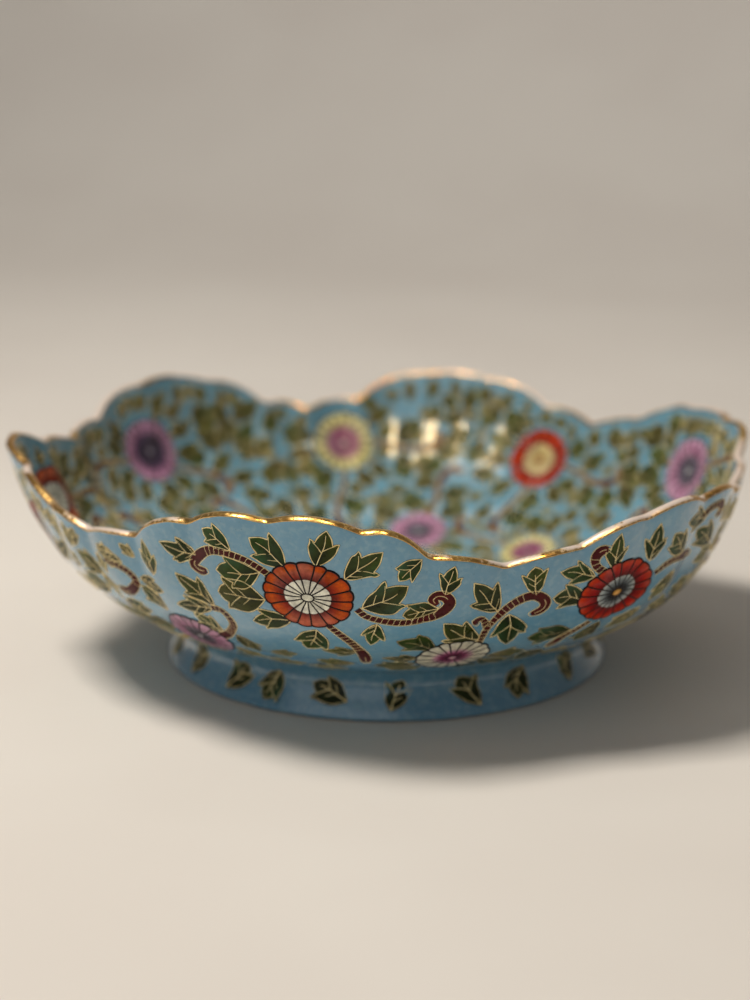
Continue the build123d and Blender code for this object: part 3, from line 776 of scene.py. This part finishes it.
# gilding: over the crest of the lip only, its brushed edges wandering a little
wave = lambda p: sum(np.sin(np.radians(ca) * f + p * f) * w for f, w in ((11, 0.07), (23, 0.10), (41, 0.09), (67, 0.07), (113, 0.05)))
e_out, e_in = 0.34 + 0.55 * wave(1.3), math.pi - 0.05 + 0.55 * wave(2.1)
gilt_rows = []
for kk, hh in [(0.0, -0.05), (0.012, 0.05), (0.04, 0.10)] + [(x, 0.12) for x in np.linspace(0.10, 0.90, 13)] + [(0.96, 0.10), (0.988, 0.05), (1.0, -0.05)]:
    th_ = e_out + (e_in - e_out) * kk
    gilt_rows.append(lip_point(th_, hh))
gilt_rows = np.stack(gilt_rows)
gilt = new_object("rim_gilding", gilt_rows.reshape(-1, 3), grid_faces(len(gilt_rows), COLS, True), [M_GILT])
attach(gilt, "root")
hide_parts("gilt_rim")

# ------------------------------------------------------------------ decoration: where things go
OUTSIDE_BLOSSOMS = [      # angle, height, radius, enamel
    (1.8, 56.0, 13.6, "orange"), (49.8, 50.7, 13.4, "red"), (97.5, 54.0, 13.6, "mauve"), (148.0, 52.5, 13.4, "orange"),
    (-163.5, 53.0, 13.6, "cream"), (-114.5, 55.0, 13.4, "red"), (-64.0, 50.0, 13.4, "coral"),
    (24.7, 29.9, 12.0, "white"), (-22.6, 31.6, 12.0, "pink"), (73.5, 33.0, 12.0, "cream"), (122.5, 33.5, 12.0, "white"),
    (171.5, 32.0, 12.0, "pink"), (-139.5, 33.0, 12.0, "mauve"), (-89.0, 31.5, 12.0, "white"),
]
INSIDE_BLOSSOMS = [
    (-115.4, 55.0, 13.0, "mauve"), (-157.8, 50.0, 13.0, "cream"), (160.2, 47.5, 13.0, "coral"), (122.3, 56.5, 13.0, "pink"),
    (79.0, 51.0, 13.0, "white"), (38.0, 48.0, 13.0, "red"), (-5.0, 56.0, 13.0, "cream"), (-40.0, 47.0, 12.5, "pink"),
    (-77.0, 54.0, 13.0, "orange"),
    (-176.0, 21.9, 11.5, "pink"), (147.6, 20.8, 11.5, "cream"), (112.0, 21.4, 11.5, "orange"), (74.0, 21.2, 11.5, "mauve"),
    (36.0, 21.6, 11.5, "white"), (-2.0, 21.4, 11.5, "coral"), (-40.0, 21.2, 11.5, "cream"), (-74.0, 21.4, 11.5, "red"),
    (-107.0, 21.3, 11.5, "white"), (-140.0, 21.4, 11.5, "mauve"),
]
# leaves about the front blossoms: base angle, height; tip angle, height
LEAVES = [
    (-1.0, 66.3, -6.4, 76.4), (3.4, 67.1, 5.1, 79.1), (7.2, 63.2, 12.6, 72.9), (9.4, 52.6, 15.9, 60.5), (17.7, 70.2, 14.1, 62.6),
    (21.3, 56.7, 22.4, 66.3), (20.5, 51.7, 15.1, 49.8), (11.5, 46.6, 10.4, 37.7), (2.3, 43.6, -0.2, 34.7), (-1.5, 46.4, -7.8, 44.6),
    (-4.9, 53.3, -12.6, 53.9), (-5.0, 63.0, -12.0, 61.9), (-9.0, 70.1, -13.6, 76.2), (-15.6, 66.6, -23.2, 69.6),
    (-25.5, 54.6, -26.4, 66.9), (-14.4, 47.8, -20.3, 57.4), (-15.3, 46.1, -22.4, 45.0), (-26.4, 40.6, -30.2, 48.3),
    (-29.8, 51.0, -24.6, 48.3), (-32.8, 34.0, -39.6, 33.3), (-15.6, 36.4, -19.5, 43.6), (-12.6, 36.5, -10.3, 29.4),
    (-8.1, 29.8, -3.0, 30.5), (8.0, 34.0, 2.2, 34.3), (30.1, 48.5, 25.4, 60.1), (28.1, 37.7, 21.6, 45.8), (32.0, 47.1, 33.6, 34.4),
    (35.4, 54.3, 34.4, 64.5), (44.8, 37.2, 37.0, 36.3), (44.5, 49.3, 38.4, 51.9), (44.5, 58.9, 37.9, 62.3), (47.6, 59.9, 47.1, 72.2),
    (54.4, 60.0, 54.5, 72.8), (61.9, 59.3, 58.0, 68.0), (66.1, 71.6, 58.9, 73.1), (70.6, 58.7, 64.8, 65.8), (61.9, 53.2, 59.4, 43.1),
    (58.3, 41.0, 54.0, 33.4), (21.0, 34.4, 14.5, 39.3), (18.3, 29.9, 12.2, 30.9), (-33.9, 60.7, -39.2, 62.9), (-32.4, 56.0, -38.2, 58.9),
    (-39.6, 48.0, -44.4, 54.8), (-29.6, 61.0, -32.6, 66.6), (-40.7, 42.0, -47.3, 42.4),
]
TENDRILS = [
    [(-3.5, 61.7), (-4.5, 63.7), (-7.2, 66.9), (-10.3, 68.4), (-12.8, 68.1), (-15.2, 64.9), (-16.3, 61.9), (-15.4, 60.2), (-14.1, 60.5)],
    [(8.7, 52.1), (10.0, 49.5), (12.5, 47.9), (15.6, 47.1), (18.8, 48.0), (20.9, 50.0), (22.1, 53.1), (21.5, 55.7), (20.3, 56.3), (19.6, 54.8), (20.2, 53.2)],
    [(28.4, 36.0), (28.6, 38.8), (29.0, 42.4), (30.4, 46.8), (31.9, 50.5), (33.6, 53.0), (35.3, 53.7), (36.8, 52.1), (37.4, 50.0), (36.9, 48.0), (35.6, 46.9)],
    [(29.0, 42.4), (28.2, 45.2), (27.5, 46.5), (26.6, 45.8), (26.9, 44.6)],
    [(46.8, 58.3), (44.7, 60.9), (43.9, 63.8), (44.3, 66.6), (45.5, 67.4)],
    [(4.3, 45.7), (6.0, 41.8), (7.8, 37.4), (9.1, 32.5), (9.3, 28.2)],
    [(-15.2, 46.5), (-13.4, 46.6), (-12.3, 44.3), (-12.2, 40.7), (-14.7, 35.9), (-17.6, 33.9), (-19.8, 33.8)],
    [(-36.8, 54.6), (-33.5, 54.0), (-31.5, 51.9), (-31.1, 48.7), (-33.6, 44.6), (-36.3, 44.4)],
    [(56.5, 54.7), (58.8, 57.4), (62.1, 58.2), (64.8, 57.8)],
    [(65.3, 69.8), (66.8, 72.6), (69.2, 73.0), (70.3, 70.8), (69.3, 69.2)],
    [(47.5, 40.1), (45.8, 36.8), (44.4, 34.3), (43.5, 29.8)],
]


class Crowd:
    """Discs already taken on a wall."""

    def __init__(self):
        self.p, self.r = np.zeros((0, 3)), np.zeros(0)

    def add(self, p, r):
        p = np.atleast_2d(p)
        self.p, self.r = np.concatenate([self.p, p]), np.concatenate([self.r, np.broadcast_to(r, len(p))])

    def clear(self, p, r, gap=0.5):
        p, r = np.atleast_2d(p), np.broadcast_to(r, len(np.atleast_2d(p)))
        if not len(self.p):
            return True
        d = np.linalg.norm(self.p[None] - p[:, None], axis=-1)
        return bool((d > self.r[None] + r[:, None] + gap).all())


def leaf_discs(base, tip):
    L = np.linalg.norm(tip - base)
    return base + np.outer([0.22, 0.5, 0.72, 0.92], tip - base), L * np.array([0.14, 0.26, 0.31, 0.13])


def leaf_sides(surf, base, tip):
    """The four corners of a leaf's widest part."""
    mid = base + (tip - base) * 0.55
    a, s = surf.drop(mid[None])
    sd = np.cross(surf.normal(a, s)[0], tip - base) * 0.42
    return np.stack([mid + sd, mid - sd, mid + sd + (tip - base) * 0.25, mid - sd + (tip - base) * 0.25])


def wall_point(surf, a, s):
    return surf.point(np.array([float(a)]), np.array([float(s)]))[0]


def room(surf, p, margin):
    """Whether the point sits below the gilding and above the foot or floor's own limits."""
    a, s = surf.drop(np.atleast_2d(p))
    top = np.interp(a, ca, top_out if surf is OUT else top_in, period=360.0)
    lo = OUT.height(21.5) if surf is OUT else 21.0
    return bool(((s < top - margin) & (s > lo)).all())


def scroll(surf, p, heading, length, hand, g):
    """A tendril's path: a slow S that winds up into a hook."""
    ds, n = 1.2, int(length / 1.2)
    out = [p]
    for i in range(n):
        q = i / n
        kap = hand * (0.030 if q < 0.30 else -0.035 if q < 0.66 else -0.10 if q < 0.8 else -0.34)
        a, s = surf.drop(p[None])
        nr = surf.normal(a, s)[0]
        heading = unit(heading - nr * (heading @ nr))
        turn = kap * ds
        heading = heading * math.cos(turn) + np.cross(nr, heading) * math.sin(turn)
        p = p + heading * ds
        a, s = surf.drop(p[None])
        p = surf.point(a, s)[0]
        out.append(p)
    return np.array(out)


def grow(surf, crowd, works, g, blossoms, tries, sizes, s_lo, tendril_len=(30, 42), per_blossom=2, front=None, snug=0.88, gap=0.2):
    """Scrolls from each blossom, leaves round the blossoms and along the scrolls, then leaves wherever there is room."""
    def pick(p):
        a = math.degrees(math.atan2(p[0], -p[1]))
        return works[int((a + 180.0) / 360.0 * len(works)) % len(works)]

    def try_leaf(base, tip, gap=0.5, margin=4.0):
        a, s = surf.drop(np.stack([base, tip]))
        base, tip = surf.point(a, s)
        p, r = leaf_discs(base, tip)
        if not room(surf, np.stack([base, tip]), margin) or not room(surf, leaf_sides(surf, base, tip), 1.8) or not crowd.clear(p[1:], r[1:], gap):
            return False
        if front is not None and front(p):
            return False
        crowd.add(p, r)
        add_leaf(pick(p[2]), base, tip, g)
        return True

    paths = []
    for a, s, radius in blossoms:
        p0, nr, e1, e2 = frame_at(surf, a, s)
        phi0 = g.uniform(0, 2 * math.pi)
        made = 0
        for turn in np.linspace(0, 2 * math.pi, 9)[:-1]:
            if made >= per_blossom:
                break
            phi = phi0 + turn * 3
            d = math.cos(phi) * e1 + math.sin(phi) * e2
            hand = 1 if g.uniform() < 0.5 else -1
            for hnd in (hand, -hand):
                path = scroll(surf, p0 + d * radius * 0.97, d, g.uniform(*tendril_len), hnd, g)
                if crowd.clear(path[4:], 1.9, 0.8) and room(surf, path[2:], 5.5) and not (front is not None and front(path)):
                    add_tendril(pick(path[len(path) // 2]), path, g)
                    crowd.add(path[1:], 1.7)
                    paths.append(path)
                    made += 1
                    break
    for a, s, radius in blossoms:
        p0, nr, e1, e2 = frame_at(surf, a, s)
        phi0 = g.uniform(0, 2 * math.pi)
        for phi in phi0 + np.linspace(0, 2 * math.pi, 25)[:-1]:
            d = math.cos(phi) * e1 + math.sin(phi) * e2
            L = g.uniform(*sizes[0])
            lean = d * math.cos(0.35) + np.cross(nr, d) * math.sin(g.uniform(-0.35, 0.35))
            try_leaf(p0 + d * (radius + 0.35), p0 + d * (radius + 0.35) + unit(lean) * L, 0.45)
    for path in paths:
        for i in range(6, len(path) - 3, 2):
            a, s = surf.drop(path[i][None])
            nr = surf.normal(a, s)[0]
            tan = unit(path[i + 1] - path[i - 1])
            sd = np.cross(nr, tan) * (1 if g.uniform() < 0.5 else -1)
            for sgn in (1, -1):
                d = unit(tan * g.uniform(0.2, 0.9) + sd * sgn)
                base = path[i] + sd * sgn * 1.7
                L = g.uniform(*sizes[0])
                p, r = leaf_discs(base, base + d * L)
                try_leaf(base, base + d * L, 0.3)
    for a in np.arange(-180.0, 180.0, 2.2):     # a loose row standing close under the gilding
        L = g.uniform(7.0, 10.5)
        top = np.interp(a, ca, top_out if surf is OUT else top_in, period=360.0)
        p0, nr, e1, e2 = frame_at(surf, a, top - L / 2 - 2.0)
        d = unit(e2 * (1 if g.uniform() < 0.6 else -1) + e1 * g.uniform(-0.45, 0.45)) * L / 2
        try_leaf(p0 - d, p0 + d, -0.2, 1.5)
    for lo, hi in sizes:        # even over the wall's area, wherever there is room left
        a = g.uniform(-180, 180, tries)
        top = np.interp(a, ca, top_out if surf is OUT else top_in, period=360.0)
        sp = np.sqrt(g.uniform(0, 1, tries) * (top ** 2 - s_lo ** 2) + s_lo ** 2)
        mid, nr = surf.point(a, sp), surf.normal(a, sp)
        t = np.radians(a)[:, None]
        e1 = np.concatenate([np.cos(t), np.sin(t), t * 0], 1)
        e1 = unit(e1 - nr * (e1 * nr).sum(1, keepdims=True))
        e2 = np.cross(nr, e1)
        phi, L = g.uniform(0, 2 * math.pi, (tries, 1)), g.uniform(lo, hi, (tries, 1))
        d = (np.cos(phi) * e1 + np.sin(phi) * e2) * L / 2
        base, tip = (surf.point(*surf.drop(q)) for q in (mid - d, mid + d))
        ok = np.ones(tries, bool)
        for q in (base, tip, mid):
            _, sq = surf.drop(q)
            ok &= (sq < top - (3.4 if surf is OUT else 2.0)) & (sq > (OUT.height(21.5) if surf is OUT else 21.0))
        for q in (mid + np.cross(nr, d) * 0.84, mid - np.cross(nr, d) * 0.84, mid + d * 0.6 + np.cross(nr, d) * 0.84, mid + d * 0.6 - np.cross(nr, d) * 0.84):
            _, sq = surf.drop(q)
            ok &= sq < top - (1.8 if surf is OUT else 1.1)
        for b, e in zip(base[ok], tip[ok]):
            p, r = leaf_discs(b, e)
            if crowd.clear(p, r * snug, gap) and not (front is not None and front(p)):
                crowd.add(p, r * snug)
                add_leaf(pick(e), b, e, g)


def blossom_pieces(surf, node_name, table, prefix, crowd):
    for i, (a, z, radius, style) in enumerate(table):
        s = surf.height(z)
        oval = (1.07, 0.96) if surf is OUT and z > 40 else (1.0, 1.0)
        ob = add_blossom(surf, f"{prefix}_{i + 1:02d}", a, s, radius, style, rng, oval=oval)
        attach(ob, "root")
        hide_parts(node_name)
        crowd.add(wall_point(surf, a, s), radius + 0.2)


def finish_works(works, prefix, node_name=None):
    for i, w in enumerate(works):
        if not w.n:
            continue
        ob = w.build(f"{prefix}_{i + 1}" if len(works) > 1 else prefix, [M_ENAMEL, M_GOLD])
        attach(ob, "root")
        if node_name:
            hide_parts(node_name)


# outside
out_crowd = Crowd()
blossom_pieces(OUT, "outside_blossoms", OUTSIDE_BLOSSOMS, "outside_blossom", out_crowd)
out_works = [Enamel(OUT) for _ in range(6)]


def sector(works, p):
    return works[int((math.degrees(math.atan2(p[0], -p[1])) + 180.0) / 360.0 * len(works)) % len(works)]


def wall_path(pts, dense=6):
    q = catmull(np.array([(a, OUT.height(z)) for a, z in pts]), dense)
    return OUT.point(q[:, 0], q[:, 1])


for t_ in TENDRILS:
    path = wall_path(t_)
    small = len(t_) <= 5 or len(t_) == 6 and t_[0][0] < -30
    short = np.linalg.norm(np.diff(path, axis=0), axis=1).sum() < 14
    path = add_tendril(sector(out_works, path[len(path) // 2]), path, rng, w1=2.5 if short else 3.8, w0=2.2)
    out_crowd.add(path, 1.5)
def below_gilding(base, tip, margin=1.3):
    q = np.concatenate([np.stack([base, tip]), leaf_sides(OUT, base, tip)])
    a, s = OUT.drop(q)
    return bool((s < np.interp(a, ca, top_out, period=360.0) - margin).all())


for a0, z0, a1, z1 in LEAVES:
    base, tip = wall_point(OUT, a0, OUT.height(z0)), wall_point(OUT, a1, OUT.height(z1))
    for _ in range(14):
        if below_gilding(base, tip):
            break
        base, tip = base - (0, 0, 0.3), base + (tip - base) * 0.965 - (0, 0, 0.3)
    add_leaf(sector(out_works, tip), base, tip, rng, broad=0.0 if z1 > 69.5 and a1 < -20 else None)
    out_crowd.add(*leaf_discs(base, tip))

# the front's two bouquets are the pattern for the rest, turned and mirrored
for (af, zf, rf, _), src, flip in zip(OUTSIDE_BLOSSOMS[2:7], (0, 1, 0, 1, 0), (-1, 1, 1, -1, 1)):
    a_src, z_src = OUTSIDE_BLOSSOMS[src][:2]
    lo, hi = ((-27, 26), (27, 76))[src]
    s_src, s_new = OUT.height(z_src), OUT.height(zf)

    def moved(a, z):
        return af + flip * (a - a_src), s_new + OUT.height(z) - s_src

    for t_ in TENDRILS:
        if lo < np.mean([q[0] for q in t_]) < hi and len(t_) > 5:
            q = catmull(np.array([moved(a, z) for a, z in t_]), 6)
            path = OUT.point(q[:, 0], q[:, 1])
            if out_crowd.clear(path[6:], 1.4, 0.6) and room(OUT, path, 4.5):
                path = add_tendril(sector(out_works, path[len(path) // 2]), path, rng, w1=3.4, w0=1.8)
                out_crowd.add(path, 1.5)
    for a0, z0, a1, z1 in LEAVES:
        if lo < (a0 + a1) / 2 < hi:
            b_, t2 = wall_point(OUT, *moved(a0, z0)), wall_point(OUT, *moved(a1, z1))
            p, r = leaf_discs(b_, t2)
            if out_crowd.clear(p[1:], r[1:] * 0.8, 0.2) and room(OUT, np.stack([b_, t2]), 3.4):
                add_leaf(sector(out_works, t2), b_, t2, rng)
                out_crowd.add(p, r)

seen_front = lambda p: bool(((np.degrees(np.arctan2(p[:, 0], -p[:, 1])) > -34) & (np.degrees(np.arctan2(p[:, 0], -p[:, 1])) < 66) & (p[:, 2] > 34)).all())
grow(OUT, out_crowd, out_works, rng, [(a, OUT.height(z), r) for a, z, r, _ in OUTSIDE_BLOSSOMS[7:]], 1600,
     ((11.5, 13.5), (9.5, 11.5), (8.0, 9.5)), OUT.height(21.5), (20, 28), 1, seen_front)
finish_works(out_works, "outside_foliage")

# inside
in_crowd = Crowd()
blossom_pieces(IN, "inside_blossoms", INSIDE_BLOSSOMS, "inside_blossom", in_crowd)
ob = add_blossom(IN, "inside_blossom_centre", 0.0, 0.001, 18.0, "orange", rng, petals=21)
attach(ob, "root")
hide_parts("inside_blossoms")
in_crowd.add(np.array([0, 0, 15.9]), 18.3)
in_works = [Enamel(IN) for _ in range(10)]
grow(IN, in_crowd, in_works, rng, [(a, IN.height(z), r) for a, z, r, _ in INSIDE_BLOSSOMS] + [(0.0, 0.001, 18.0)], 4600,
     ((12.5, 14.5), (11.0, 13.0), (9.5, 11.5), (8.0, 9.5), (6.8, 8.0), (5.6, 6.8)), 19.0, snug=0.68, gap=0.0)
finish_works(in_works, "inside_foliage")

# foot
FOOT_LEAVES = [(-44.9, 10.5, 80), (-28.2, 11.5, 60), (-16.9, 11.0, 250), (-1.3, 12.5, 155), (15.5, 11.0, 70), (34.0, 12.0, 120),
               (48.6, 11.5, 245), (67.0, 10.5, 75), (83.0, 11.5, 150), (99.5, 11.0, 60), (115.0, 12.0, 250), (131.5, 11.0, 110),
               (148.0, 11.5, 70), (164.0, 12.0, 160), (180.0, 11.0, 245), (-163.5, 11.5, 60), (-147.0, 12.0, 120),
               (-131.0, 11.0, 75), (-114.5, 11.5, 250), (-98.0, 12.0, 150), (-80.5, 11.0, 65), (-62.0, 11.5, 115)]
foot_work = Enamel(RING)
for a, L, turn in FOOT_LEAVES:
    p0, n, e1, e2 = frame_at(RING, a, RING.height(8.6))
    d = (math.cos(math.radians(turn)) * e1 + math.sin(math.radians(turn)) * e2) * (L + 0.8) / 2
    add_leaf(foot_work, p0 - d, p0 + d, rng, broad=1.0, lift=0.22, hue=0.3, gold=0.26, vein=2.3)
finish_works([foot_work], "foot_leaves", "foot_leaves")

# ------------------------------------------------------------------ stage, light and camera
def floor_piece():
    prof = [(-2.2, 0.0), (-0.6, 0.0), (0.9, 0.0)]
    R, c = 0.9, (0.9, 0.9)
    prof += [(c[0] + R * math.sin(t), c[1] - R * math.cos(t)) for t in np.linspace(0.12, math.pi / 2, 14)]
    prof += [(1.8, 3.2)]
    prof = np.array(prof)
    n = len(prof)
    v = np.zeros((n, 2, 3))
    v[:, 0, 0], v[:, 1, 0] = -3.2, 3.2
    v[:, :, 1], v[:, :, 2] = prof[:, :1], prof[:, 1:]
    ob = new_object("studio_sweep", v.reshape(-1, 3) / MM, grid_faces(n, 2), [M_STAGE])


def area(name, loc, look, size, power, colour, spread=None):
    d = bpy.data.lights.new(name, "AREA")
    d.shape, d.size, d.size_y, d.energy, d.color = "RECTANGLE", size[0], size[1], power, colour
    if spread:
        d.spread = math.radians(spread)
    ob = bpy.data.objects.new(name, d)
    ob.location = loc
    ob.rotation_euler = (Vector(look) - Vector(loc)).to_track_quat("-Z", "Y").to_euler()
    bpy.context.scene.collection.objects.link(ob)
    return ob


M_STAGE = stage_material("pale_sweep", srgb(221, 213, 203), srgb(226, 219, 209))
floor_piece()
LAMP, DAY = (1.0, 0.955, 0.895), (0.97, 0.98, 1.0)
key = area("key_overhead", (-0.41, -0.28, 1.2), (0, 0, 0.03), (0.34, 0.34), 14.2, LAMP)
key.visible_glossy = False
sheen = area("key_sheen", (-0.41, -0.28, 1.2), (0, 0, 0.03), (0.34, 0.34), 7.5, LAMP)
sheen.visible_diffuse = False
area("fill_front", (-0.3, -1.6, 0.9), (0, 0, 0.05), (1.8, 1.2), 3.2, DAY)
area("backdrop_wash", (0.0, 0.7, 1.7), (0, 1.8, 0.9), (1.4, 0.5), 5.0, DAY)
streaked = bpy.data.collections.new("streaked")
for ob in list(bpy.context.scene.objects):
    if ob.type == "MESH" and (ob.name.startswith("inside_") or ob.name in ("bowl_wall", "rim_gilding")):
        streaked.objects.link(ob)
for side, at_x, y_, tone, watts in (("right", 0.236, -0.617, (1.0, 0.68, 0.30), 6.5), ("left", -0.34, -0.559, (1.0, 0.74, 0.40), 11.0)):
    pane = area(f"window_{side}", (at_x, y_, 0.843), (0, 0.11, 0.052), (0.15, 0.56), watts, tone)
    pane.visible_diffuse = False        # seen only as streaks in the bowl's glaze
    pane.light_linking.receiver_collection = streaked
w = bpy.data.worlds.new("soft_room")
bpy.context.scene.world = w
w.use_nodes = True
w.node_tree.nodes["Background"].inputs["Color"].default_value = (0.95, 0.92, 0.88, 1)
w.node_tree.nodes["Background"].inputs["Strength"].default_value = 0.165
bpy.context.scene.view_settings.view_transform = "Standard"

from mathutils import Matrix
t0, yaw, pitch, roll = (math.radians(x) for x in (12.95, -0.36, 14.54, 0.21))
fwd0 = Vector((-math.sin(t0), math.cos(t0), 0)) * math.cos(yaw) + Vector((math.cos(t0), math.sin(t0), 0)) * math.sin(yaw)
right0 = Vector((math.cos(t0), math.sin(t0), 0)) * math.cos(yaw) - Vector((-math.sin(t0), math.cos(t0), 0)) * math.sin(yaw)
fwd = fwd0 * math.cos(pitch) - Vector((0, 0, 1)) * math.sin(pitch)
up0 = right0.cross(fwd)
right, up = right0 * math.cos(roll) + up0 * math.sin(roll), up0 * math.cos(roll) - right0 * math.sin(roll)
cam = bpy.data.objects.new("camera", bpy.data.cameras.new("camera"))
bpy.context.scene.collection.objects.link(cam)
cam.data.sensor_width, cam.data.lens, cam.data.clip_start = 36.0, 73.36, 0.01
m = Matrix((right, up, -fwd)).transposed().to_4x4()
m.translation = Vector((0.7064 * math.sin(t0), -0.7064 * math.cos(t0), 0.2382))
cam.matrix_world = m
bpy.context.scene.camera = cam
# a close lens focused on the front wall; from further off everything is sharp
centre = bpy.data.objects.new("focus_centre", None)
centre.location = (0, 0, 0.04)
bpy.context.scene.collection.objects.link(centre)
cam.data.dof.use_dof = True
cam.data.dof.focus_distance, cam.data.dof.aperture_fstop = 0.60, 5.4


def driven(path, expression):
    d = cam.data.driver_add(path).driver
    v = d.variables.new()
    v.name, v.type = "d", "LOC_DIFF"
    v.targets[0].id, v.targets[1].id = cam, centre
    d.type, d.expression = "SCRIPTED", expression


driven("dof.focus_distance", "d - 0.129")
driven("dof.aperture_fstop", "5.4 if d < 0.86 else 64.0")

bpy.context.view_layer.update()
